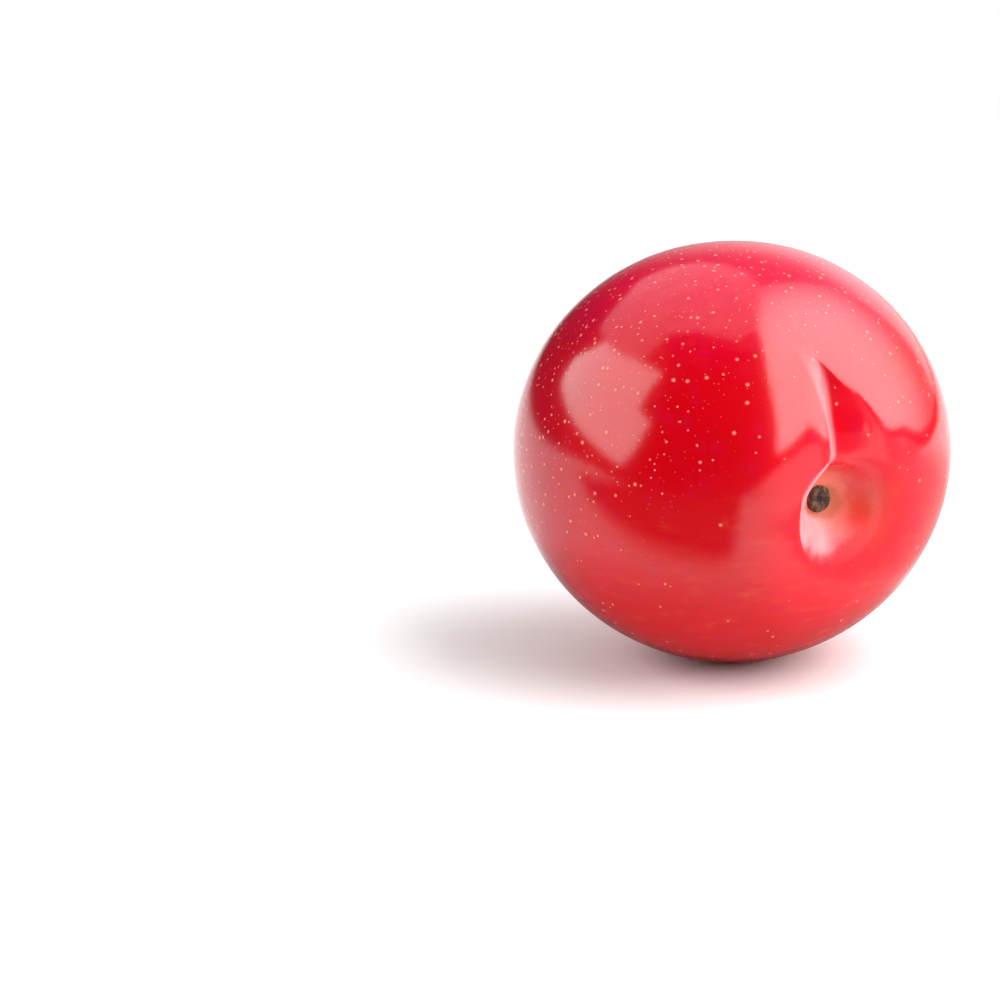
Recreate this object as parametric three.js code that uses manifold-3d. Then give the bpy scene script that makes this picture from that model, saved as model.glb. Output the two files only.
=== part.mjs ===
// A ripe red dessert plum as picked, lying on its side: one solid fruit with its stalk cavity, suture and
// stalk scar. Millimetres. +Z is up, the stalk end faces -Y and the suture runs over the top. The origin is
// the middle of the small flat spot that the fruit rests on.
import * as THREE from "three";
import { mergeVertices } from "three/addons/utils/BufferGeometryUtils.js";
import Module from "manifold-3d";

const { degToRad, clamp } = THREE.MathUtils;

// The fruit before the cavity and the suture are pressed into it.
const HALF_LENGTH = 30.6; // along the stalk axis
const HALF_CHEEK = 30.8; // sideways, across the two cheeks
const HALF_SUTURE = 29.6; // from the suture to the back
const TAPER = 0.033; // how much fuller the stalk end is than the tip end
const LEAN = degToRad(2.5); // the stalk end lies this much lower than the tip end

// The stalk cavity.
const CAVITY_DEPTH = 5.5;
const CAVITY_FLOOR = 1.6; // radius of its flat bottom, where the scar is
const CAVITY_RADIUS = 4.3; // from there to halfway up its wall
const CAVITY_FLARE = 0.15; // share by which the cavity is wider towards its open side
const CAVITY_OPEN = degToRad(150); // its open side, round the stalk axis from the suture towards +X
const CAVITY_RIM = 2.8; // how sharply its wall turns into the cheek
const CAVITY_SOFTEN = 0.5; // share by which the rim is softer towards the open side
const CAVITY_UNDERCUT = 0.25; // the cavity leans by this share of its depth under its left wall

// The suture: a broad slope on the right of its crease and a steep wall on the left. It narrows towards
// the tip.
const GROOVE_SLOPE = 0.5; // steepness of its right side
const GROOVE_WIDTH = 5; // width of its right side near the cavity
const GROOVE_NEAR = 0.36; // radians from the stalk end within which it has that width
const GROOVE_REACH = 0.74; // radians from the stalk end at which it has run out
const GROOVE_END_WIDTH = 0.02; // width left past there
const GROOVE_CORNER = 8; // how sharply the right side turns into the cheek, past the cavity
const GROOVE_SOFT_CORNER = 1.5; // and beside the cavity
const GROOVE_SOFT_REACH = 0.2; // radians from the stalk end within which the corner is soft
const GROOVE_CORNER_BLEND = 0.2; // radians over which the one turns into the other
const GROOVE_LEFT = 1.4; // width of its steep left wall
const GROOVE_FLOOR = 0.25; // radius at the bottom of the crease
const GROOVE_UNDERCUT = 0.3; // the left lip leans by this share of the depth over the crease
const GROOVE_IN_CAVITY = 0.2; // share of its depth that is left at the middle of the cavity
const GROOVE_START = 9; // it sets in over this height above the stalk axis

// The crease curves to the left on its way to the tip, and hooks to the left where it runs into the cavity.
const DRIFT = 9.5; // for each square of a radian
const DRIFT_START = 0.24; // radians from the stalk end
const HOOK = 7.6;
const HOOK_REACH = 0.136;

// The shallow hollow on both sides of the suture.
const VALLEY_DEPTH = 0.35;
const VALLEY_WIDTH = 6;
const VALLEY_FADE = 1; // radians from the stalk end

// The scar that the stalk left: a corky ring round a small pit.
const SCAR_RADIUS = 1.6;
const SCAR_RIM = 0.25;
const SCAR_RIM_WIDTH = 0.4;
const SCAR_PIT = 0.5;
const SCAR_PIT_WIDTH = 0.6;

// The tip: a tiny dimple where the flower's style was.
const TIP_DEPTH = 0.5;
const TIP_REACH = 1.2;

const FLAT_RADIUS = 4; // the spot that the fruit rests on
const END_BLEND = 10; // what belongs to one end fades out over this distance from the fruit's middle

// The mesh: rings crowd towards the stalk end and meridians towards the suture.
const MERIDIANS = 108;
const RINGS = 54;
const RING_CROWDING = 1.6;
const MERIDIAN_CROWDING = 0.6;

// Goes smoothly from 0 to 1 while x goes from start to end.
const ease = (x, start, end) => {
  const s = clamp((x - start) / (end - start), 0, 1);
  return s * s * (3 - 2 * s);
};
// 1 at the middle, falling away on both sides.
const bell = (x, middle, width) => Math.exp(-(((x - middle) / width) ** 2));
// Nearly x where x is positive and nearly 0 where it isn't, with a rounded bend between.
const softRamp = (x) => Math.log(1 + Math.exp(x));

// How deep the cavity is at a distance and a direction from the stalk axis, from 0 to 1.
function cavityDip(fromAxis, around) {
  const slant = Math.cos(around - CAVITY_OPEN);
  const radius = CAVITY_RADIUS * (1 + CAVITY_FLARE * slant);
  const rim = CAVITY_RIM * (1 - CAVITY_SOFTEN * slant);
  const fromFloor = Math.max(fromAxis - CAVITY_FLOOR, 0);
  return Math.exp(-((fromFloor / radius) ** rim));
}

// The depth of the suture beside its crease.
function grooveDepth(polar, x, z) {
  const hook = HOOK * bell(polar, 0, HOOK_REACH);
  const beside = x + DRIFT * Math.max(polar - DRIFT_START, 0) ** 2 + hook;
  const off = Math.hypot(beside, GROOVE_FLOOR) - GROOVE_FLOOR;
  const nearness = 1 - ease(polar, GROOVE_NEAR, GROOVE_REACH);
  const width = GROOVE_END_WIDTH + (GROOVE_WIDTH - GROOVE_END_WIDTH) * nearness + hook;
  const past = ease(polar, GROOVE_SOFT_REACH, GROOVE_SOFT_REACH + GROOVE_CORNER_BLEND);
  const corner = GROOVE_SOFT_CORNER + (GROOVE_CORNER - GROOVE_SOFT_CORNER) * past;
  const slope = softRamp(corner * (1 - off / width)) / softRamp(corner);
  const wall = Math.exp(-off / GROOVE_LEFT);
  return GROOVE_SLOPE * width * ease(z, 0, GROOVE_START) * (beside > 0 ? slope : wall);
}

// A point of the skin, from its angle to the stalk axis and its angle round that axis from the suture.
function skinPoint(polar, around) {
  const girth = Math.sin(polar) * (1 + TAPER * Math.cos(polar));
  const x = HALF_CHEEK * girth * Math.sin(around);
  const y = -HALF_LENGTH * Math.cos(polar);
  const z = HALF_SUTURE * girth * Math.cos(around);
  const fromAxis = Math.hypot(x, z);
  const stalkEnd = ease(-y, 0, END_BLEND);
  const tipEnd = ease(y, 0, END_BLEND);

  const dip = cavityDip(fromAxis, around) * stalkEnd;
  const scarRing = SCAR_RIM * bell(fromAxis, SCAR_RADIUS, SCAR_RIM_WIDTH);
  const scar = scarRing - SCAR_PIT * bell(fromAxis, 0, SCAR_PIT_WIDTH);
  const tip = TIP_DEPTH * Math.exp(-fromAxis / TIP_REACH) * tipEnd;
  const p = new THREE.Vector3(x - CAVITY_UNDERCUT * CAVITY_DEPTH * dip, y, z);
  p.y += CAVITY_DEPTH * dip - scar * stalkEnd - tip;

  const groove = grooveDepth(polar, x, z) * (1 - (1 - GROOVE_IN_CAVITY) * dip);
  const valleyFade = Math.exp(-((polar / VALLEY_FADE) ** 4));
  const valley = VALLEY_DEPTH * bell(x, 0, VALLEY_WIDTH) * ease(z, 0, GROOVE_START) * valleyFade;
  const inwards = p.clone().normalize().negate();
  p.addScaledVector(inwards, groove + valley);
  p.x -= GROOVE_UNDERCUT * groove;
  return p;
}

// A closed sphere's grid, moved onto the skin.
function fruitGeometry() {
  const grid = new THREE.SphereGeometry(1, MERIDIANS, RINGS);
  const { position, uv } = grid.attributes;
  const sideways = new THREE.Vector3(1, 0, 0);
  for (let i = 0; i < position.count; i++) {
    const turn = 2 * Math.PI * uv.getX(i);
    const polar = Math.PI * (1 - uv.getY(i)) ** RING_CROWDING;
    const around = MERIDIAN_CROWDING * Math.sin(turn) - turn;
    position.setXYZ(i, ...skinPoint(polar, around).applyAxisAngle(sideways, LEAN));
  }
  grid.deleteAttribute("normal");
  grid.deleteAttribute("uv");
  return mergeVertices(grid, 1e-3);
}

const wasm = await Module();
wasm.setup();

const solidOf = (geometry) =>
  new wasm.Manifold(
    new wasm.Mesh({
      numProp: 3,
      vertProperties: new Float32Array(geometry.attributes.position.array),
      triVerts: new Uint32Array(geometry.index.array),
    }),
  );

function geometryOf(solid) {
  const mesh = solid.getMesh();
  const geometry = new THREE.BufferGeometry();
  geometry.setAttribute("position", new THREE.BufferAttribute(new Float32Array(mesh.vertProperties), 3));
  geometry.setIndex(new THREE.BufferAttribute(new Uint32Array(mesh.triVerts), 1));
  geometry.computeVertexNormals();
  return geometry;
}

// Cuts the flat spot and moves its middle to the origin.
function settled(geometry) {
  const at = geometry.attributes.position;
  const lowest = new THREE.Vector3(0, 0, Infinity);
  for (let i = 0; i < at.count; i++) {
    if (at.getZ(i) < lowest.z) lowest.fromBufferAttribute(at, i);
  }
  const cut = FLAT_RADIUS ** 2 / (2 * HALF_SUTURE);
  geometry.translate(-lowest.x, -lowest.y, -lowest.z - cut);
  const ground = new THREE.BoxGeometry(60, 60, 20).translate(0, 0, -10);
  ground.deleteAttribute("normal");
  ground.deleteAttribute("uv");
  return geometryOf(solidOf(geometry).subtract(solidOf(mergeVertices(ground, 1e-3))));
}

const plum = new THREE.Mesh(
  settled(fruitGeometry()),
  new THREE.MeshStandardMaterial({ color: 0xc8102a, roughness: 0.22, metalness: 0 }),
);
plum.name = "plum";

const part = new THREE.Group();
part.add(plum);
export default part;
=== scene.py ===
# %% [markdown]
# # A ripe red plum
#
# A plum is one body, so this lesson has one main piece, the skin, and three small things that sit on it: the
# pale dots in the skin, the dry scar where the stalk came off, and the speck where the flower was. The packed
# model is loaded first, as a frame of the fruit's real size and place, and everything is fitted to its box.

from math import cos, exp, pi, radians, sin
from types import SimpleNamespace

import bmesh
import bpy
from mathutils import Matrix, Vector, noise


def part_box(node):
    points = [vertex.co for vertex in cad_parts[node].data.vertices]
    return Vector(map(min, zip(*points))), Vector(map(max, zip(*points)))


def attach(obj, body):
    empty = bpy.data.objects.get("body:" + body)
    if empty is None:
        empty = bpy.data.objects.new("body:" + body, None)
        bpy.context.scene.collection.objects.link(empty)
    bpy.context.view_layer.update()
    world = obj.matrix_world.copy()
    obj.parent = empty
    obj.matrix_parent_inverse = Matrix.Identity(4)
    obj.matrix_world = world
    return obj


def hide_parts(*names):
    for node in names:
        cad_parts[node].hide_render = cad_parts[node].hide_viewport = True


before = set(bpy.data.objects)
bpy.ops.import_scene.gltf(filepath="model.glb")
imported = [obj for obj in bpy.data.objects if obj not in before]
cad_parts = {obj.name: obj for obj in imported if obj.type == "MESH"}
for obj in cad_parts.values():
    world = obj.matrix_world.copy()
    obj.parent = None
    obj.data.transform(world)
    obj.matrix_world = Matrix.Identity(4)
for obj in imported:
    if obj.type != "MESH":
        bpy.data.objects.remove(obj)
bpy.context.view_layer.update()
MM = 0.001  # the sizes below are in millimetres, and Blender's are in metres
low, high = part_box("plum")
print("the fruit's box, mm:", [round(side / MM, 2) for side in high - low])

# %% [markdown]
# ## The fruit's sizes
#
# The fruit is nearly a ball: an ellipsoid that is a little fuller towards the stalk end. A stalk cavity is
# pressed into one end. The suture is the seam that runs from the cavity over the fruit: its left lip is steep
# and leans over the crease, and its right side is a broad slope. A handful of sizes say all of this, so the
# shape is written as a rule rather than sculpted, and every size stays adjustable.

# %% Sizes of the fruit, in millimetres and degrees
FORM = dict(
    half_length=30.6,  # along the stalk axis
    half_cheek=30.8,  # sideways, across the two cheeks
    half_suture=29.6,  # from the suture to the back
    taper=0.033,  # how much fuller the stalk end is than the tip end
    lean=2.5,  # the stalk end lies this much lower than the tip end
    cavity_depth=5.5,
    cavity_floor=1.6,  # radius of its flat bottom, where the scar is
    cavity_radius=4.3,  # from there to halfway up its wall
    cavity_flare=0.15,  # share by which the cavity is wider towards its open side
    cavity_open=150.0,  # where its open side lies, round the stalk axis from the suture towards +X
    cavity_rim=2.8,  # how sharply its wall turns into the cheek
    cavity_soften=0.5,  # share by which the rim is softer towards the open side
    cavity_undercut=0.25,  # the cavity leans by this share of its depth under its left wall
    groove_slope=0.5,  # steepness of the suture's right side
    groove_width=5.0,  # width of its right side near the cavity
    groove_near=0.36,  # radians from the stalk end within which it has that width
    groove_reach=0.74,  # radians from the stalk end at which it has run out
    groove_corner=8.0,  # how sharply the right side turns into the cheek, past the cavity
    groove_soft_corner=1.5,  # and beside the cavity
    groove_soft_reach=0.2,  # radians from the stalk end within which the corner is soft
    groove_left=1.4,  # width of its steep left wall
    groove_floor=0.25,  # radius at the bottom of the crease
    groove_undercut=0.3,  # the left lip leans by this share of the depth over the crease
    groove_drift=9.5,  # the crease curves to the left by this much for each square of a radian
    groove_straight=0.24,  # radians from the stalk end at which it starts to curve
    groove_hook=7.6,  # and it hooks to the left where it runs into the cavity
    groove_hook_reach=0.136,  # radians from the stalk end
    groove_start=9.0,  # the suture sets in over this height above the stalk axis
    valley_depth=0.35,  # the shallow hollow on both sides of the suture
    valley_width=6.0,
    valley_fade=1.0,
    tip_depth=0.5,
    tip_reach=1.2,
    lumps=0.25,  # soft unevenness of the cheeks
)

# %% [markdown]
# ## Writing node trees as expressions
#
# Both the shape and the finish are node trees. Wiring hundreds of nodes by hand is hard to read, so a small
# class wraps a socket and gives it Python's operators: writing `1 - mask` adds the Math node for it. One
# method, `add`, makes any other node from its type, its settings and its sockets' values or links.

# %% A socket that can stand in an expression
class Field:
    def __init__(self, graph, socket):
        self.graph, self.socket = graph, socket

    def __getitem__(self, name):
        """Another output of the same node."""
        return Field(self.graph, socket_of(self.socket.node.outputs, name))

    def __add__(self, other):
        return self.graph.math("ADD", self, other)

    def __sub__(self, other):
        return self.graph.math("SUBTRACT", self, other)

    def __rsub__(self, other):
        return self.graph.math("SUBTRACT", other, self)

    def __mul__(self, other):
        return self.graph.math("MULTIPLY", self, other)

    def __truediv__(self, other):
        return self.graph.math("DIVIDE", self, other)

    def __rtruediv__(self, other):
        return self.graph.math("DIVIDE", other, self)

    def __pow__(self, other):
        return self.graph.math("POWER", self, other)

    def __neg__(self):
        return self.graph.math("MULTIPLY", self, -1.0)

    __radd__, __rmul__ = __add__, __mul__


def socket_of(sockets, key):
    """The socket with that identifier, or else the first with that name."""
    matches = [s for s in sockets if s.identifier == key] + [s for s in sockets if s.name == key]
    return matches[0]


# %% A node tree that expressions are written into
NATURAL_BASE = 2.718282  # of the natural logarithm


class Graph:
    def __init__(self, tree):
        self.tree = tree

    def add(self, kind, settings=None, **sockets):
        """Any node: its settings first, then the values or links of its sockets. Returns its first output."""
        node = self.tree.nodes.new(kind)
        for name, value in (settings or {}).items():
            setattr(node, name, value)
        for name, value in sockets.items():
            socket = socket_of(node.inputs, name.replace("__", " "))
            if isinstance(value, Field):
                self.tree.links.new(value.socket, socket)
            else:
                socket.default_value = value
        if node.outputs:
            return Field(self, node.outputs[0])

    def math(self, operation, *values):
        names = ("Value", "Value_001")
        return self.add("ShaderNodeMath", {"operation": operation}, **dict(zip(names, values)))

    def vector(self, operation, *values, **more):
        names = ("Vector", "Vector_001")
        return self.add("ShaderNodeVectorMath", {"operation": operation}, **dict(zip(names, values)), **more)

    def combine(self, x, y, z):
        return self.add("ShaderNodeCombineXYZ", X=x, Y=y, Z=z)

    def split(self, vector):
        parts = self.add("ShaderNodeSeparateXYZ", Vector=vector)
        return parts["X"], parts["Y"], parts["Z"]

    def ease(self, value, start=0.0, end=1.0, low=0.0, high=1.0):
        """Goes smoothly from low to high while the value goes from start to end."""
        sockets = {"Value": value, "From__Min": start, "From__Max": end, "To__Min": low, "To__Max": high}
        return self.add("ShaderNodeMapRange", {"interpolation_type": "SMOOTHSTEP"}, **sockets)

    def most(self, value, *others):
        """The largest of several values."""
        for other in others:
            value = self.math("MAXIMUM", value, other)
        return value

    def hypot(self, a, b):
        return self.math("SQRT", a * a + b * b)

    def along(self, vector, way):
        """How far a vector reaches in a direction."""
        return self.vector("DOT_PRODUCT", vector, tuple(way))["Value"]

    def soft_ramp(self, value):
        """Nearly the value where it is positive and nearly 0 where it isn't, with a rounded bend between."""
        return self.math("LOGARITHM", 1 + self.math("EXPONENT", value), NATURAL_BASE)

    def bell(self, value, middle, width):
        """1 where the value is at its middle, falling away on both sides."""
        offset = (value - middle) / width
        return self.math("EXPONENT", -(offset * offset))

    def noise(self, place, scale, detail=2.0, roughness=0.5, distortion=0.0):
        """Soft noise from 0 to 1; scale is patches per millimetre."""
        look = {"Scale": scale, "Detail": detail, "Roughness": roughness, "Distortion": distortion}
        return self.add("ShaderNodeTexNoise", Vector=place, **look)


# %% [markdown]
# ## Growing a piece with Geometry Nodes
#
# Each piece is grown by a tree whose sizes are named inputs, so the same tree could grow another plum. The
# result is taken from the evaluated object as a plain mesh and the modifier is removed, because what is kept
# is the mesh.

# %% Trees with named sizes, and what they grow
def new_tree(name, sizes, surface=False):
    """An empty tree, its named size inputs as fields, and its surface input if it grows on one."""
    tree = bpy.data.node_groups.new(name, "GeometryNodeTree")
    tree.interface.new_socket("Geometry", in_out="OUTPUT", socket_type="NodeSocketGeometry")
    if surface:
        tree.interface.new_socket("Geometry", in_out="INPUT", socket_type="NodeSocketGeometry")
    for size in sizes:
        tree.interface.new_socket(size, in_out="INPUT", socket_type="NodeSocketFloat")
    graph = Graph(tree)
    inputs = graph.add("NodeGroupInput")
    return graph, SimpleNamespace(**{size: inputs[size] for size in sizes}), inputs


def end_tree(graph, geometry, material):
    """The tree's last nodes: instances made real, smooth shading and the material."""
    real = graph.add("GeometryNodeRealizeInstances", Geometry=geometry)
    smooth = graph.add("GeometryNodeSetShadeSmooth", Geometry=real)
    dressed = graph.add("GeometryNodeSetMaterial", Geometry=smooth, Material=material)
    graph.add("NodeGroupOutput", Geometry=dressed)


def grown(name, graph, sizes, surface=None):
    """The tree's result as a plain mesh object."""
    piece = bpy.data.objects.new(name, surface.copy() if surface else bpy.data.meshes.new(name))
    bpy.context.scene.collection.objects.link(piece)
    modifier = piece.modifiers.new(name, "NODES")
    modifier.node_group = graph.tree
    for item in graph.tree.interface.items_tree:
        if item.name in sizes:
            modifier[item.identifier] = float(sizes[item.name])
    evaluated = piece.evaluated_get(bpy.context.evaluated_depsgraph_get())
    mesh = bpy.data.meshes.new_from_object(evaluated)
    piece.modifiers.clear()
    piece.data = mesh
    mesh.name = name
    print(name, "has", len(mesh.polygons), "faces")
    return piece


# %% [markdown]
# ## The finish of the skin
#
# A ripe plum's skin is a thin crimson film over yellow flesh, under a layer of wax. Its colour is darkest on
# the left cheek, partly its own crimson and partly painted shade, and turns to red and orange towards the
# stalk. Where nothing has rubbed it, in the cavity and deep in the suture, the wax is still a dull pink-white
# bloom; low in the cavity and in the crease that pale colour is also a painted highlight. All of this is
# painted by masks from the piece's own coordinates and from attributes that the shape's tree stores, so it
# stays put from every side.

# %% Colours of the skin
CRIMSON = (0.40, 0.0008, 0.012)
RED = (0.60, 0.0010, 0.006)
SCARLET = (0.78, 0.0020, 0.016)
ORANGE_RED = (0.70, 0.055, 0.016)
FLECK = (0.85, 0.16, 0.06)
CLOUD = (0.52, 0.01, 0.10)
DOT = (0.90, 0.26, 0.17)
# Pale pink-white of wax bloom, also painted as a highlight low in the cavity and in the crease.
BLOOM_AND_HIGHLIGHT = (0.92, 0.38, 0.40)
FILM = (0.62, 0.02, 0.55)
SALMON = (0.74, 0.12, 0.085)
STAIN = (0.50, 0.085, 0.025)
PEACH = (0.80, 0.19, 0.12)

# %% How strongly each layer of colour covers what lies under it
COVER = SimpleNamespace(
    streaks=0.3,  # orange streaks low down
    top=0.16,  # orange blotches on top
    flecks=0.12,
    clouds=0.14,
    film=0.06,
    salmon=0.8,  # the right half of the cavity
    patch=0.54,  # bloom low in the cavity, which is also a painted highlight there
    lip=0.7,  # and along its left lip
    crease=0.66,  # and in the suture's crease, also a painted highlight there
    slope=0.015,  # and on the suture's slope beside the cavity
    halo=0.45,  # peach round the stalk's scar
    stain=0.85,  # brown right beside it
    pores=0.35,
)


# %% Materials and mixed colours
def new_material(name):
    material = bpy.data.materials.new(name)
    material.use_nodes = True
    material.node_tree.nodes.clear()
    return material, Graph(material.node_tree)


def mix(graph, factor, first, second):
    """A colour between two colours."""
    first, second = [c if isinstance(c, Field) else (*c, 1.0) for c in (first, second)]
    sockets = {"Factor_Float": factor, "A_Color": first, "B_Color": second}
    return graph.add("ShaderNodeMix", {"data_type": "RGBA"}, **sockets)["Result_Color"]


def finish_material(graph, shader):
    graph.add("ShaderNodeOutputMaterial", Surface=shader)


# %% What the masks read at a point of the skin
MIDDLE = (low + high) / 2 / MM


def skin_place(graph):
    """Millimetres from the fruit's middle, millimetres right of and above the stalk, what the shape's tree
    stored there, and patches in two sizes.
    """
    place = graph.vector("SCALE", graph.add("ShaderNodeTexCoord")["Object"], Scale=1 / MM)
    x, y, z = graph.split(graph.vector("SUBTRACT", place, tuple(MIDDLE)))
    stored = {}
    for name in ("dip", "crease", "pale", "chart"):
        stored[name] = graph.add("ShaderNodeAttribute", {"attribute_name": name})
    right, up, _ = graph.split(stored["chart"]["Vector"])
    return SimpleNamespace(
        place=place,
        x=x,
        y=y,
        z=z,
        right=right,
        up=up,
        from_stalk=graph.hypot(right, up) + 0.01,  # never 0, because the flares divide by it
        dip=stored["dip"]["Fac"],
        crease=stored["crease"]["Fac"],
        pale=stored["pale"]["Fac"],
        patches=graph.noise(place, 0.06, 3.0),
        mottle=graph.noise(place, 0.9, 4.0, 0.6),
    )


# %% The ripe colours of the cheeks, with painted shade on the left
def ripe_and_shaded_colour(graph, at):
    """Crimson on the left cheek and the tip, partly the skin's own colour and partly painted shade, red
    towards the stalk and brightest round the cavity.
    """
    across = at.x * 0.7 - at.y * 0.7 + (at.patches - 0.5) * 16
    # Darker crimson towards the left: partly the skin's own colour, partly painted shade where the light
    # falls off.
    colour = mix(graph, graph.ease(across, -23.0, -7.0), CRIMSON, RED)
    round_stalk = graph.ease(at.from_stalk + (at.patches - 0.5) * 10, 23.0, 11.0)
    return mix(graph, graph.ease(at.right, -16.0, -7.0) * round_stalk, colour, SCARLET)


def flesh_showing(graph, at, colour):
    """Orange beside the cavity and on top, and streaks and flecks low down: there the yellow flesh shows."""
    blotches = graph.ease(graph.noise(at.place, 0.35, 3.0, 0.6), 0.42, 0.62)
    beside = graph.bell(at.right, 5.2, 3.4) * graph.bell(at.up, -1.5, 4.2) * (blotches * 0.4 + 0.5)
    streaks = graph.noise(graph.vector("MULTIPLY", at.place, (0.5, 0.5, 1.6)), 0.45, 4.0, 0.65)
    low_down = graph.ease(-at.z - at.y * 0.4 + (at.patches - 0.5) * 24, 2.0, 24.0)
    on_top = graph.ease(at.z, 15.0, 23.0) * graph.ease(at.y, 16.0, 0.0)
    on_top = on_top * graph.ease(at.right, -34.0, -22.0) * graph.ease(at.right, 0.0, -8.0)
    streaked = graph.ease(streaks, 0.5, 0.75) * low_down
    warm = graph.most(beside, streaked * COVER.streaks, blotches * on_top * COVER.top)
    colour = mix(graph, warm, colour, ORANGE_RED)
    flecks = graph.ease(streaks, 0.6, 0.74) * graph.ease(at.patches, 0.46, 0.62) * low_down
    return mix(graph, flecks * COVER.flecks, colour, FLECK)


def clouded(graph, at, colour):
    """Faint clouds, pinker and darker, over the whole skin, and a thin film of wax on top."""
    clouds = graph.ease(graph.noise(at.place, 0.28, 5.0, 0.65), 0.52, 0.7)
    colour = mix(graph, clouds * COVER.clouds, colour, CLOUD)
    return mix(graph, graph.ease(at.z, 14.0, 28.0) * COVER.film, colour, FILM)


# %% The dull parts: the cavity, the crease and the suture's slope
def dull_masks(graph, at):
    """Where they are salmon, in bloom, peach and stained; the bloom low in the cavity and in the crease is
    also a painted highlight. All places are millimetres from the stalk.
    """
    on_slope = graph.ease(at.up + at.right * 0.19, 11.0, 10.3) * graph.ease(at.up, 2.5, 6.0)
    on_slope = on_slope * graph.ease(at.right, -0.8, 0.2) * graph.ease(at.right, 6.5, 3.0)

    # The right half of the cavity is dull salmon, ragged at its edge.
    ragged = (at.mottle - 0.5) * 0.8
    salmon = graph.ease(graph.hypot((at.right - 1.2) / 2.6, (at.up - 0.3) / 4.8) + ragged, 1.35, 0.5)

    # Bloom is thickest low in its left half, where it flares outwards, and along the lip on the left. Low in
    # the cavity and in the crease its pale colour also stands for a painted highlight.
    spread = 5 / at.from_stalk
    spoke = graph.combine(at.right * spread, at.up * spread, at.from_stalk * 0.15)
    flares = (graph.noise(spoke, 1.0, 2.0) - 0.5) * 0.7
    from_patch = graph.hypot((at.right + 2.2) / 3.1, (at.up + 3.9) / 3.9)
    from_patch = from_patch + (at.mottle - 0.5) * 0.4 + flares * graph.ease(at.up, -3.0, -6.0)
    patch = graph.ease(from_patch, 1.25, 0.3)
    lip = graph.ease(at.dip - graph.ease(at.up, 2.5, -2.5) * 0.07, 0.002, 0.02)
    lip = lip * graph.ease(at.right, -0.9, -2.0) * graph.ease(at.up, -6.5, -4.0)
    bloom_and_highlight = graph.most(patch * COVER.patch, lip * COVER.lip, at.crease * COVER.crease, on_slope * COVER.slope)

    # Round the scar the flesh is peach, and right beside it stained brown.
    halo = graph.ease(at.from_stalk + (at.mottle - 0.5) * 1.4, 5.0, 2.8) * (1 - lip)
    from_scar = graph.hypot(at.right - 0.6, at.up + 0.5)
    stain = graph.ease(from_scar + (at.mottle - 0.5) * 1.2, 2.9, 2.0)
    return SimpleNamespace(on_slope=on_slope, salmon=salmon, bloom_and_highlight=bloom_and_highlight, halo=halo, stain=stain)


# %% The skin's material
SKIN_IOR = 1.55
GLOSSY = 0.14  # roughness of skin that is rubbed clean
DULL = 0.45  # what full bloom adds to it
HOLLOW, SLOPE, SALMON_PART = 0.45, 0.15, 0.8  # how dull the cavity, the suture's slope and the salmon are
UNEVEN = 0.06  # by how much it wanders from patch to patch
FINE_BUMP = 0.04 * MM  # depth of the skin's fine unevenness


def skin_material():
    material, graph = new_material("skin")
    at = skin_place(graph)
    masks = dull_masks(graph, at)
    colour = clouded(graph, at, flesh_showing(graph, at, ripe_and_shaded_colour(graph, at)))
    colour = mix(graph, masks.salmon * COVER.salmon, colour, SALMON)
    # Pale pink-white: wax bloom, and low in the cavity and in the crease a painted highlight as well.
    colour = mix(graph, masks.bloom_and_highlight, colour, BLOOM_AND_HIGHLIGHT)
    colour = mix(graph, masks.halo * COVER.halo, colour, PEACH)
    colour = mix(graph, masks.stain * COVER.stain, colour, STAIN)

    # Faint pores far from the stalk, and the pale middles of the dots.
    pores = graph.ease(graph.add("ShaderNodeTexVoronoi", Vector=at.place, Scale=1.1)["Distance"], 0.17, 0.07)
    far_off = graph.ease(at.from_stalk, 10.0, 34.0) * graph.ease(at.z, -16.0, 4.0)
    colour = mix(graph, pores * far_off * COVER.pores, colour, DOT)
    colour = mix(graph, at.pale, colour, DOT)

    hollow = graph.ease(at.dip + (at.mottle - 0.5) * 0.5, 0.02, 0.7)
    dull = graph.most(masks.bloom_and_highlight, hollow * HOLLOW, masks.on_slope * SLOPE, masks.salmon * SALMON_PART)
    fine = graph.noise(at.place, 1.6, 3.0)
    shader = graph.add(
        "ShaderNodeBsdfPrincipled",
        Base__Color=colour,
        Roughness=GLOSSY + dull * DULL + (at.patches - 0.5) * UNEVEN,
        Normal=graph.add("ShaderNodeBump", Strength=0.2, Distance=FINE_BUMP, Height=fine),
        IOR=SKIN_IOR,
    )
    finish_material(graph, shader)
    print("the skin's finish has", len(material.node_tree.nodes), "nodes")
    return material


SKIN = skin_material()

# %% [markdown]
# ## The skin
#
# The skin could be sculpted from a sphere, but the fruit's shape follows a rule: a grid of rings round the
# stalk axis is bent into the ellipsoid, and the cavity and the suture are subtracted from it. The rings crowd
# towards the stalk and the meridians towards the suture, so that the faces are small where the shape is fine.
# The tree also stores how deep in the cavity and in the crease each point is, and how far right of and above
# the stalk it lies as the skin runs, for the finish to read.

# %% The ball with its cavity and its tip
END_BLEND = 10.0  # what belongs to one end fades out over this distance from the fruit's middle


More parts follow.
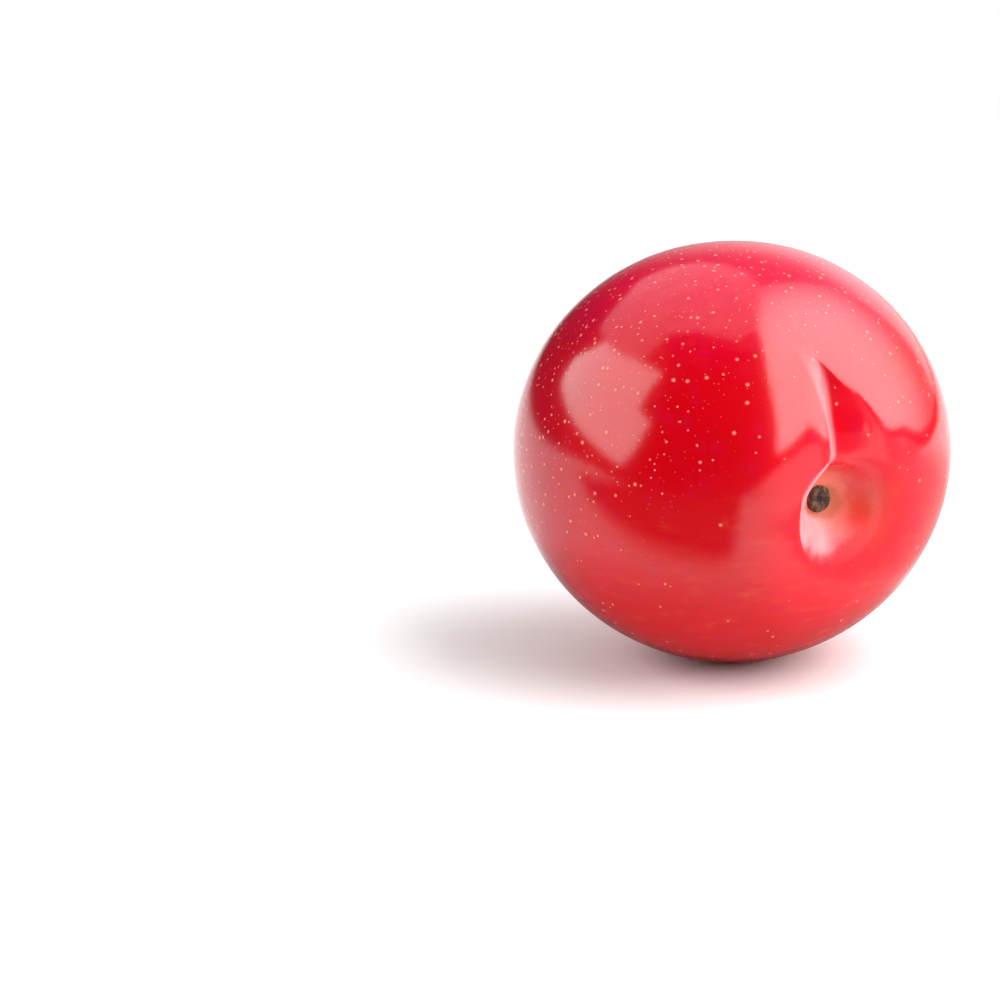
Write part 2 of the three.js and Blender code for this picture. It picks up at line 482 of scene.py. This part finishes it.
def hollowed_ball(graph, size, polar, around):
    """A point of the ellipsoid, the same point after the cavity and the tip are pressed in, and its dip."""
    sine, cosine = graph.math("SINE", polar), graph.math("COSINE", polar)
    girth = sine * (1 + size.taper * cosine)
    x = size.half_cheek * girth * graph.math("SINE", around)
    y = -(size.half_length * cosine)
    z = size.half_suture * girth * graph.math("COSINE", around)

    from_axis = graph.hypot(x, z)
    slant = graph.math("COSINE", around - size.cavity_open * (pi / 180))
    radius = size.cavity_radius * (1 + size.cavity_flare * slant)
    rim = size.cavity_rim * (1 - size.cavity_soften * slant)
    from_floor = graph.math("MAXIMUM", from_axis - size.cavity_floor, 0.0)
    dip = graph.math("EXPONENT", -((from_floor / radius) ** rim)) * graph.ease(-y, 0.0, END_BLEND)
    tip = graph.math("EXPONENT", -(from_axis / size.tip_reach)) * graph.ease(y, 0.0, END_BLEND)
    deep_x = x - size.cavity_undercut * size.cavity_depth * dip
    deep_y = y + size.cavity_depth * dip - size.tip_depth * tip
    return (x, z), (deep_x, deep_y, z), dip


# %% The suture
END_WIDTH = 0.02  # what is left of its right side's width past its reach
CORNER_BLEND = 0.2  # radians over which its soft corner turns into the sharp one
IN_CAVITY = 0.2  # share of its depth that is left at the middle of the cavity


def suture(graph, size, polar, x, z, dip):
    """Its depth, the depth of the shallow hollow round it, and how far right of its crease the point lies."""
    hook = size.groove_hook * graph.bell(polar, 0.0, size.groove_hook_reach)
    drift = size.groove_drift * graph.math("MAXIMUM", polar - size.groove_straight, 0.0) ** 2.0
    beside = x + drift + hook
    off = graph.hypot(beside, size.groove_floor) - size.groove_floor
    width = graph.ease(polar, size.groove_reach, size.groove_near, END_WIDTH, size.groove_width) + hook
    start = graph.ease(z / size.groove_start)

    # A broad slope on the right, with a rounded corner, and a steep wall on the left.
    near, past = size.groove_soft_reach, size.groove_soft_reach + CORNER_BLEND
    corner = graph.ease(polar, near, past, size.groove_soft_corner, size.groove_corner)
    slope = graph.soft_ramp(corner * (1 - off / width)) / graph.soft_ramp(corner)
    wall = graph.math("EXPONENT", -(off / size.groove_left))
    profile = wall + (slope - wall) * graph.math("GREATER_THAN", beside, 0.0)
    groove = size.groove_slope * width * start * (1 - (1 - IN_CAVITY) * dip) * profile

    valley = size.valley_depth * graph.bell(x, 0.0, size.valley_width) * start
    valley = valley * graph.math("EXPONENT", -((polar / size.valley_fade) ** 4.0))
    return groove, valley, beside


# %% The whole rule of the skin's shape
MERIDIANS = 310
RINGS = 300
RING_CROWDING = 1.6  # 1 spaces the rings evenly, and more crowds them towards the stalk
MERIDIAN_CROWDING = 0.6  # 0 spaces the meridians evenly, and more crowds them towards the suture


def skin_points(graph, size):
    """A point of the skin from the flat grid, its dip, its closeness to the crease, and its place on a chart
    of the skin, in millimetres right of and above the stalk.
    """
    turn, rise, _ = graph.split(graph.add("GeometryNodeInputPosition"))
    turn, rise = turn + 0.5, rise + 0.5
    polar = pi * rise**RING_CROWDING
    around = 2 * pi * turn - MERIDIAN_CROWDING * graph.math("SINE", 2 * pi * turn)
    (x, z), (deep_x, deep_y, deep_z), dip = hollowed_ball(graph, size, polar, around)
    groove, valley, beside = suture(graph, size, polar, x, z, dip)

    outwards = graph.vector("NORMALIZE", graph.combine(deep_x, deep_y, deep_z))
    pressed_x, pressed_y, pressed_z = graph.split(graph.vector("SCALE", outwards, Scale=-(groove + valley)))
    skin_x = deep_x + pressed_x - size.groove_undercut * groove
    skin = graph.combine(skin_x, deep_y + pressed_y, deep_z + pressed_z)

    # The crease, in millimetres beside it and above the stalk axis, and in radians from the stalk.
    crease = graph.ease(beside, -2.4, -1.2) * graph.ease(beside, 0.9, 0.1)
    crease = crease * graph.ease(z, 0.5, 3.0) * graph.ease(polar, 0.8, 0.42)
    along = polar * size.half_length
    chart = graph.combine(along * graph.math("SINE", around), along * graph.math("COSINE", around), 0.0)
    return skin, dip, crease, chart


# %% The skin's tree
LUMP_SCALE = 0.045  # lumps in a millimetre
MERGE = 1e-7  # metres, for the poles and the seam


def skin_tree():
    graph, size, _ = new_tree("skin_shape", FORM)
    points, dip, crease, chart = skin_points(graph, size)
    counts = {"Vertices__X": MERIDIANS, "Vertices__Y": RINGS, "Size__X": 1.0, "Size__Y": 1.0}
    grid = graph.add("GeometryNodeMeshGrid", **counts)
    for name, value in (("dip", dip), ("crease", crease), ("chart", chart)):
        kind = {"data_type": "FLOAT_VECTOR" if name == "chart" else "FLOAT"}
        grid = graph.add("GeometryNodeStoreNamedAttribute", kind, Geometry=grid, Name=name, Value=value)
    uneven = graph.noise(graph.vector("SCALE", points, Scale=LUMP_SCALE), 1.0, 1.0)
    away = graph.vector("NORMALIZE", points)
    points = graph.vector("ADD", points, graph.vector("SCALE", away, Scale=(uneven - 0.5) * size.lumps * 2))
    about_x = {"rotation_type": "X_AXIS"}
    leaned = graph.add("ShaderNodeVectorRotate", about_x, Vector=points, Angle=size.lean * (pi / 180))
    in_metres = graph.vector("SCALE", leaned, Scale=MM)
    placed = graph.add("GeometryNodeSetPosition", Geometry=grid, Position=in_metres)
    closed = graph.add("GeometryNodeMergeByDistance", Geometry=placed, Distance=MERGE)
    return graph, settled(graph, closed)


def settled(graph, geometry):
    """Moves the fruit to the frame's box and flattens what would lie under the ground."""
    box = graph.add("GeometryNodeBoundBox", Geometry=geometry)
    least, most = box["Min"], box["Max"]
    middle = graph.vector("SCALE", graph.vector("ADD", least, most), Scale=0.5)
    middle_x, middle_y, _ = graph.split(middle)
    _, _, top = graph.split(most)
    cad_middle = (low + high) / 2
    shift = graph.combine(cad_middle.x - middle_x, cad_middle.y - middle_y, high.z - top)
    moved = graph.add("GeometryNodeSetPosition", Geometry=geometry, Offset=shift)
    x, y, z = graph.split(graph.add("GeometryNodeInputPosition"))
    flat = graph.combine(x, y, graph.math("MAXIMUM", z, 0.0))
    return graph.add("GeometryNodeSetPosition", Geometry=moved, Position=flat)


graph, shape = skin_tree()
end_tree(graph, shape, SKIN)
skin = grown("plum_skin", graph, FORM)

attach(skin, "root")
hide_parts("plum")

# %% [markdown]
# ## The pale dots
#
# A plum breathes through small pores that heal as pale corky dots. They are many and small on the far half
# and few near the stalk. Drawn in the shader they would have no height, and modelled one by one they would
# take a day, so Geometry Nodes scatter one low dome over the skin: never closer than a set distance, and
# fewer where the density falls. Each dome remembers how near its middle each point is, so it fades into the
# skin.

# %% Sizes of the dots, in millimetres
DOTS = dict(
    dot_spacing=0.75,  # the least distance between two dots
    dot_count=22.0,  # the most dots on a square centimetre
    dot_least=0.18,  # radius of the smallest
    dot_most=0.38,  # and of the largest
    dot_height=0.07,  # a dome's height over its radius
)
DOT_SEED = 11  # another seed scatters them otherwise
PER_SQUARE_CM = 10000  # square centimetres in a square metre


# %% The dots' tree
def dots_tree():
    graph, size, inputs = new_tree("dots_shape", DOTS, surface=True)
    chart = graph.add("GeometryNodeInputNamedAttribute", {"data_type": "FLOAT_VECTOR"}, Name="chart")
    dip = graph.add("GeometryNodeInputNamedAttribute", {"data_type": "FLOAT"}, Name="dip")["Attribute"]
    from_stalk = graph.vector("LENGTH", chart["Attribute"])["Value"]
    _, _, height = graph.split(graph.add("GeometryNodeInputPosition"))

    # Few near the stalk, none in the cavity or where the fruit rests, and all of them higher up.
    share = graph.ease(from_stalk, 8.0, 42.0, 0.07, 1.0) * graph.ease(dip, 0.04, 0.0)
    share = share * graph.ease(height, 0.8 * MM, 2.5 * MM) * graph.ease(height, 14 * MM, 36 * MM, 0.25, 1.0)
    points = graph.add(
        "GeometryNodeDistributePointsOnFaces",
        {"distribute_method": "POISSON"},
        Mesh=inputs["Geometry"],
        Distance__Min=size.dot_spacing * MM,
        Density__Max=size.dot_count * PER_SQUARE_CM,
        Density__Factor=share,
        Seed=DOT_SEED,
    )

    # The upper half of a small ball becomes a dome with a soft edge and a pale middle, and its lower half
    # stays in the skin. Small domes are commoner than large ones.
    ball = graph.add("GeometryNodeMeshUVSphere", Segments=8, Rings=6, Radius=1.0)
    x, y, z = graph.split(graph.add("GeometryNodeInputPosition"))
    out = graph.hypot(x, y)
    raised = (1 - out * out) ** 2.0 * graph.math("GREATER_THAN", z, -0.01) + graph.math("MINIMUM", z, 0.0)
    dome = graph.add("GeometryNodeSetPosition", Geometry=ball, Position=graph.combine(x, y, raised))
    middle = graph.ease(out, 1.0, 0.2)
    dome = graph.add("GeometryNodeStoreNamedAttribute", Geometry=dome, Name="pale", Value=middle)
    chance = graph.add("FunctionNodeRandomValue", {"data_type": "FLOAT"}, Seed=DOT_SEED)["Value_001"]
    radius = (size.dot_least + (size.dot_most - size.dot_least) * chance * chance) * MM
    scale = graph.combine(radius, radius, radius * size.dot_height)
    placed = {"Points": points, "Instance": dome, "Rotation": points["Rotation"], "Scale": scale}
    return graph, graph.add("GeometryNodeInstanceOnPoints", **placed)


graph, shape = dots_tree()
end_tree(graph, shape, SKIN)
dots = grown("pale_dots", graph, DOTS, surface=skin.data)

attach(dots, "root")

# %% [markdown]
# ## The two scars
#
# The stalk left a corky scar at the bottom of the cavity, a rough ring round a dark pit, and the flower left
# a tan speck at the other end. Both are small round cushions of cork. A lathe would make them too perfect,
# so a closed disc is bent by a formula and roughened with noise, and the finish reads how far from the
# middle it is.

# %% The cork
CORK_ROUGHNESS = 0.75
CORK_BUMP = 0.1 * MM  # depth of the cork's grain


def cork_material(name, ring, streak, pit):
    """Cork: mottled from its ring colour to its streak colour, and dark in the pit."""
    material, graph = new_material(name)
    place = graph.vector("SCALE", graph.add("ShaderNodeTexCoord")["Object"], Scale=1 / MM)
    out = graph.add("ShaderNodeAttribute", {"attribute_name": "out"})["Fac"]
    mottle = graph.noise(place, 1.6, 4.0, 0.7, 0.6)
    colour = mix(graph, graph.ease(mottle, 0.45, 0.68), ring, streak)
    colour = mix(graph, graph.ease(out + (mottle - 0.5) * 0.3, 0.34, 0.12), colour, pit)
    grain = graph.noise(place, 4.0, 4.0, 0.7)
    bump = graph.add("ShaderNodeBump", Strength=0.6, Distance=CORK_BUMP, Height=grain)
    shader = graph.add("ShaderNodeBsdfPrincipled", Base__Color=colour, Roughness=CORK_ROUGHNESS, Normal=bump)
    finish_material(graph, shader)
    return material


# %% A scar's shape
RIDGE_AT, RIDGE_WIDTH, PIT_WIDTH = 0.66, 0.24, 0.3  # shares of a scar's radius
THICK = 0.5  # share of it from the edge to the back
WAVY, WAVES = 0.1, 1.3  # by which share of it the scar's edge wanders, and how often
ROUGH, LUMPS = 0.7, 4.5  # by which share of its ridge the face is rough, and how finely


def disc_point(along, turn, radius, ridge, pit):
    """A point of a closed cushion facing +Z, whose middle is in front at 0 along and at the back at 1."""
    out = 2 * min(along, 1 - along)
    rough = noise.noise(Vector((cos(turn) * out, sin(turn) * out, 0.5)) * LUMPS)
    reach = radius * out * (1 + WAVY * noise.noise(Vector((cos(turn), sin(turn), 9.0)) * WAVES))
    if along > 0.5:
        return Vector((cos(turn) * reach, sin(turn) * reach, -THICK * radius)), out
    bulge = ridge * exp(-(((out - RIDGE_AT) / RIDGE_WIDTH) ** 2)) - pit * exp(-((out / PIT_WIDTH) ** 2))
    edge = -THICK * radius * out**8
    return Vector((cos(turn) * reach, sin(turn) * reach, bulge + edge + ROUGH * ridge * rough)), out


def scar(name, place, facing, material, radius, ridge, pit, rings=28, segments=44):
    turned = facing.to_track_quat("Z", "Y").to_matrix()
    mesh = bmesh.new()
    layer = mesh.verts.layers.float.new("out")
    loops = []
    for ring in range(rings + 1):
        count = 1 if ring in (0, rings) else segments
        loop = []
        for step in range(count):
            point, out = disc_point(ring / rings, 2 * pi * step / count, radius, ridge, pit)
            vert = mesh.verts.new(place + turned @ (point * MM))
            vert[layer] = out
            loop.append(vert)
        loops.append(loop)
    for inner, outer in zip(loops, loops[1:]):
        for step in range(segments):
            after = (step + 1) % segments
            corners = [inner[step % len(inner)], outer[step % len(outer)]]
            corners += [outer[after % len(outer)], inner[after % len(inner)]]
            mesh.faces.new(list(dict.fromkeys(corners)))
    bmesh.ops.recalc_face_normals(mesh, faces=mesh.faces)
    for face in mesh.faces:
        face.smooth = True
    data = bpy.data.meshes.new(name)
    mesh.to_mesh(data)
    mesh.free()
    data.materials.append(material)
    piece = bpy.data.objects.new(name, data)
    bpy.context.scene.collection.objects.link(piece)
    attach(piece, "root")
    print(name, "is", round(2 * radius, 1), "mm across")


# %% The scars in place
def chart_length(vertex):
    return skin.data.attributes["chart"].data[vertex.index].vector.length


by_chart = sorted(skin.data.vertices, key=chart_length)
stalk_end, tip_end = by_chart[0].co.copy(), by_chart[-1].co.copy()
axis = Vector((0, -cos(radians(FORM["lean"])), -sin(radians(FORM["lean"]))))
RAISED = 0.3 * MM  # the stalk's scar stands this far out of the cavity's floor

DARK_CORK = dict(ring=(0.045, 0.016, 0.009), streak=(0.20, 0.11, 0.045), pit=(0.010, 0.003, 0.004))
TAN_CORK = dict(ring=(0.33, 0.13, 0.05), streak=(0.5, 0.27, 0.11), pit=(0.12, 0.04, 0.02))
CORK, TAN = cork_material("stalk_cork", **DARK_CORK), cork_material("tip_cork", **TAN_CORK)

scar("stalk_scar", stalk_end + axis * RAISED, axis, CORK, radius=2.1, ridge=0.25, pit=0.2)
scar("tip_scar", tip_end, -axis, TAN, radius=0.8, ridge=0.12, pit=0.2)

# %% [markdown]
# ## The camera
#
# The camera stands a little above the fruit, to the left of its stalk end, with a long lens that keeps the
# round form true. It aims beside and below the fruit, which therefore sits up and right in the picture.

# %% Camera
CAMERA_AROUND = radians(-32.3)  # from straight in front of the stalk end
CAMERA_ABOVE = radians(14)
CAMERA_DISTANCE = 450 * MM
LENS = 114.4
NEAREST = 10 * MM  # what is closer to the camera than this isn't seen
AIM_LEFT = 32.0 * MM
AIM_BELOW = 7.85 * MM

centre = Vector(MIDDLE) * MM
level = Vector((sin(CAMERA_AROUND), -cos(CAMERA_AROUND), 0))
BACK = level * cos(CAMERA_ABOVE) + Vector((0, 0, sin(CAMERA_ABOVE)))
RIGHT = Vector((cos(CAMERA_AROUND), sin(CAMERA_AROUND), 0))
UP = BACK.cross(RIGHT)

camera = bpy.data.objects.new("camera", bpy.data.cameras.new("camera"))
camera.location = centre + BACK * CAMERA_DISTANCE
aim = centre - RIGHT * AIM_LEFT - UP * AIM_BELOW
camera.rotation_euler = (aim - camera.location).to_track_quat("-Z", "Y").to_euler()
camera.data.lens = LENS
camera.data.clip_start = NEAREST
bpy.context.scene.collection.objects.link(camera)
bpy.context.scene.camera = camera
print("the camera stands", round(camera.location.z / MM), "mm above the floor")

# %% [markdown]
# ## The studio's lights
#
# Glossy fruit is lit by what it mirrors. Two tall soft boxes stand at its sides, a wide one hangs above and
# a weak reflector lies low on the right, with a narrow black flag above it that keeps the two reflections
# apart. Each is a flat shape whose corners are given as directions from the fruit, so it can be aimed at the
# place where its reflection should be, and it may fade along an axis, as a lamp's light falls off on its
# cloth.

# %% A flat light
STEEPEST = 0.15  # keeps a corner that is nearly beside the light's plane from running far off


def direction(sideways, upwards):
    """A direction from the fruit in the camera's axes, in degrees: 0, 0 is towards the camera."""
    side, rise = radians(sideways), radians(upwards)
    return RIGHT * (sin(side) * cos(rise)) + UP * sin(rise) + BACK * (cos(side) * cos(rise))


def from_fruit(graph):
    """A staging material's own coordinates, measured from the fruit's middle in metres."""
    return graph.vector("SUBTRACT", graph.add("ShaderNodeTexCoord")["Object"], tuple(centre))


def soft_box(name, corners, facing, distance, strength, fades=()):
    """A flat emitting shape at a distance along facing, whose corners lie in the given directions.

    Each fade is an axis, the metres along it from the fruit where the light starts to fade and where it has
    faded, and the share that is left there.
    """
    towards = direction(*facing)
    rays = [direction(*corner) for corner in corners]
    points = [centre + ray * (distance / max(STEEPEST, ray.dot(towards))) for ray in rays]
    mesh = bpy.data.meshes.new(name)
    mesh.from_pydata(points, [], [range(len(points))])
    box = bpy.data.objects.new(name, mesh)
    bpy.context.scene.collection.objects.link(box)
    material, graph = new_material(name)
    light = strength
    for fade_axis, start, end, left in fades:
        light = light * graph.ease(graph.along(from_fruit(graph), fade_axis), start, end, 1.0, left)
    finish_material(graph, graph.add("ShaderNodeEmission", Strength=light))
    mesh.materials.append(material)
    box.visible_camera = False
    print(name, "has", len(corners), "corners and a strength of", strength)
    return box


# %% The shapes of the lights, as directions in degrees: to the right and up
RIGHT_BOX = [
    (143, 79), (143, 55), (142, 14), (136, 8), (110, 6), (80, 9), (52, 13), (29, -2), (29, 18), (28, 39),
    (37, 68),
]
LEFT_BOX = [
    (-101, 41), (-89, 42), (-78, 42), (-54, 42), (-43, 40), (-47, 31), (-49, 19), (-41, 13), (-48, 1),
    (-57, -6), (-98, 15), (-113, 22), (-116, 29), (-106, 36),
]
TOP_BOX = [
    (-119, 40), (-130, 44), (-140, 46), (-150, 44), (-157, 46), (-162, 48), (-168, 51), (-176, 57), (170, 65),
    (153, 72), (37, 68), (7, 62), (-9, 66), (-32, 67), (-50, 64), (-57, 59), (-57, 54), (-62, 43), (-77, 42),
    (-100, 41),
]
LOW_CARD = [
    (3, -29), (4, -24), (10, -23), (21, -15), (31, -6), (45, 3), (57, 5), (68, 5), (80, 3), (122, 3),
    (124, -28), (60, -28),
]
BLACK_FLAG = [
    (64, 4), (83, 8), (92, 9), (101, 7), (108, 6), (114, 6), (121, 8), (129, 10), (137, 13), (138, 9),
    (130, 6), (122, 4), (114, 2), (108, 2), (101, 3), (92, 5), (83, 4),
]

# %% The lights in place
RIGHT_FADES = [(UP, 0.65, 1.3, 0.1), (BACK, 0.15, -0.65, 0.12)]
CARD_FADES = [(BACK, 0.25, 0.42, 0.32), (BACK, 0.15, 0.04, 0.4)]

soft_box("right_box", RIGHT_BOX, facing=(83, 32), distance=0.7, strength=5.2, fades=RIGHT_FADES)
soft_box("left_box", LEFT_BOX, facing=(-71, 21), distance=0.7, strength=3.6)
soft_box("top_box", TOP_BOX, facing=(-45, 81), distance=0.9, strength=1.0)
low_card = soft_box("low_card", LOW_CARD, facing=(65, 3), distance=0.25, strength=1.62, fades=CARD_FADES)
low_card.visible_diffuse = False  # it shows in the skin and lights nothing
flag = soft_box("flag", BLACK_FLAG, facing=(85, 5), distance=0.17, strength=0.0)
flag.visible_diffuse = flag.visible_shadow = False

# %% [markdown]
# ## The floor and the room
#
# The floor is a plain pale board that ends a little in front of the fruit, so that the skin mirrors the dark
# room below its middle. Three more sheets lie on it. A strip that only the camera sees carries the floor on
# towards it. A white surround, which only the camera sees too, sets in where the floor would fade to grey. A
# dark cloth shows only in the skin, and makes its front as deep a red as it is on a table with other fruit.
# The room is white to the camera, and to the skin it is bright on the right and dark behind the camera.

# %% A level sheet
def board(name, corners, lift, shader_of):
    """A level sheet beside the fruit; its corners are metres across and nearer from under the fruit."""
    ground = Vector((centre.x, centre.y, lift))
    mesh = bpy.data.meshes.new(name)
    points = [ground + RIGHT * across + level * near for across, near in corners]
    mesh.from_pydata(points, [], [range(len(points))])
    sheet = bpy.data.objects.new(name, mesh)
    bpy.context.scene.collection.objects.link(sheet)
    material, graph = new_material(name)
    finish_material(graph, shader_of(graph))
    mesh.materials.append(material)
    print(name, "lies", lift / MM, "mm above the ground")
    return sheet


# %% What the sheets are made of
BACKGROUND = 1.0  # brightness of the white behind the fruit
WHITE_SETS_IN = (0.3, 0.6)  # metres from the fruit


def floor_shader(graph):
    look = {"Base Color": (0.9, 0.9, 0.9, 1.0), "Roughness": 0.8, "Specular IOR Level": 0.2}
    return graph.add("ShaderNodeBsdfPrincipled", **look)


def partly(graph, cover, **light):
    """A light that covers part of a clear sheet."""
    clear, lit = graph.add("ShaderNodeBsdfTransparent"), graph.add("ShaderNodeEmission", **light)
    return graph.add("ShaderNodeMixShader", Fac=cover, Shader=clear, Shader_001=lit)


def white_shader(graph):
    """White that sets in far round the fruit."""
    far = graph.vector("LENGTH", from_fruit(graph))["Value"]
    return partly(graph, graph.ease(far, *WHITE_SETS_IN), Strength=BACKGROUND)


def cloth_shader(graph):
    """Black in front on the left, thin on the right, and thin under the fruit as a painted shadow that the
    skin mirrors. All distances are millimetres.
    """
    across, nearer = [graph.along(from_fruit(graph), way) / MM for way in (RIGHT, level)]
    slanted = across - (nearer - 64.0) * 0.2
    front_left = graph.ease(slanted, 11.0, 1.0) * graph.ease(across, -380.0, -150.0)
    front_left = front_left * graph.ease(nearer, 34.0, 60.0) * graph.ease(nearer, 240.0, 190.0)
    at_right = graph.ease(across, 20.0, 42.0) * graph.ease(nearer, -160.0, -50.0)
    at_right = at_right * graph.ease(nearer, 110.0, 65.0) * 0.55
    # Under the fruit the cloth is a painted shadow: it darkens the floor as the skin mirrors it, where the
    # fruit's shadow falls.
    under = graph.ease(graph.hypot(across, nearer), 56.0, 20.0) * 0.65
    return partly(graph, graph.most(front_left, at_right, under), Strength=0.0)


# %% The sheets in place, in metres
FLOOR_SIDE = 3.0
FLOOR_FRONT = 0.2
FLOOR_DEPTH = 2.5
CLOTH_SIDE = 0.42
ABOVE_FLOOR = 1 * MM


def strip(half, front, back):
    """The corners of a strip of floor between two distances in front of the fruit."""
    return [(-half, front), (half, front), (half, back), (-half, back)]


board("floor", strip(FLOOR_SIDE, FLOOR_FRONT, -FLOOR_DEPTH), 0.0, floor_shader)
front = board("floor_front", strip(FLOOR_SIDE, FLOOR_DEPTH, FLOOR_FRONT), 0.0, floor_shader)
surround = board("floor_surround", strip(FLOOR_SIDE, FLOOR_DEPTH, -FLOOR_DEPTH), ABOVE_FLOOR, white_shader)
for sheet in (front, surround):
    sheet.visible_diffuse = sheet.visible_glossy = sheet.visible_shadow = False
cloth = board("cloth", strip(CLOTH_SIDE, CLOTH_SIDE, -CLOTH_SIDE), ABOVE_FLOOR, cloth_shader)
cloth.visible_camera = cloth.visible_diffuse = cloth.visible_shadow = False

# %% The room
DARK_TOWARDS = (BACK * 0.94 + UP * 0.35).normalized()  # the unlit room behind the camera
ROOM_LIGHT = 1.0
ROOM_DARK = 0.02  # share of that light behind the camera
ROOM_LEFT = 0.04  # share of it at the left
ROOM_RIGHT = 1.7  # and at the right
ROOM_ABOVE = 0.3  # and above


def room():
    world = bpy.data.worlds.new("room")
    bpy.context.scene.world = world
    world.use_nodes = True
    world.node_tree.nodes.clear()
    graph = Graph(world.node_tree)
    ray = graph.add("ShaderNodeTexCoord")["Generated"]
    backwards, rightwards, upwards = [graph.along(ray, way) for way in (DARK_TOWARDS, RIGHT, UP)]
    light = graph.ease(backwards, -0.1, 0.6, ROOM_LIGHT, ROOM_DARK)
    light = light * graph.ease(rightwards, -0.35, 0.35, ROOM_LEFT, ROOM_RIGHT)
    light = light * graph.ease(upwards, 0.5, 0.82, 1.0, ROOM_ABOVE)
    seen = graph.add("ShaderNodeLightPath")["Is Camera Ray"]
    strength = light + (BACKGROUND - light) * seen
    graph.add("ShaderNodeOutputWorld", Surface=graph.add("ShaderNodeBackground", Strength=strength))


room()
bpy.context.scene.view_settings.view_transform = "Standard"
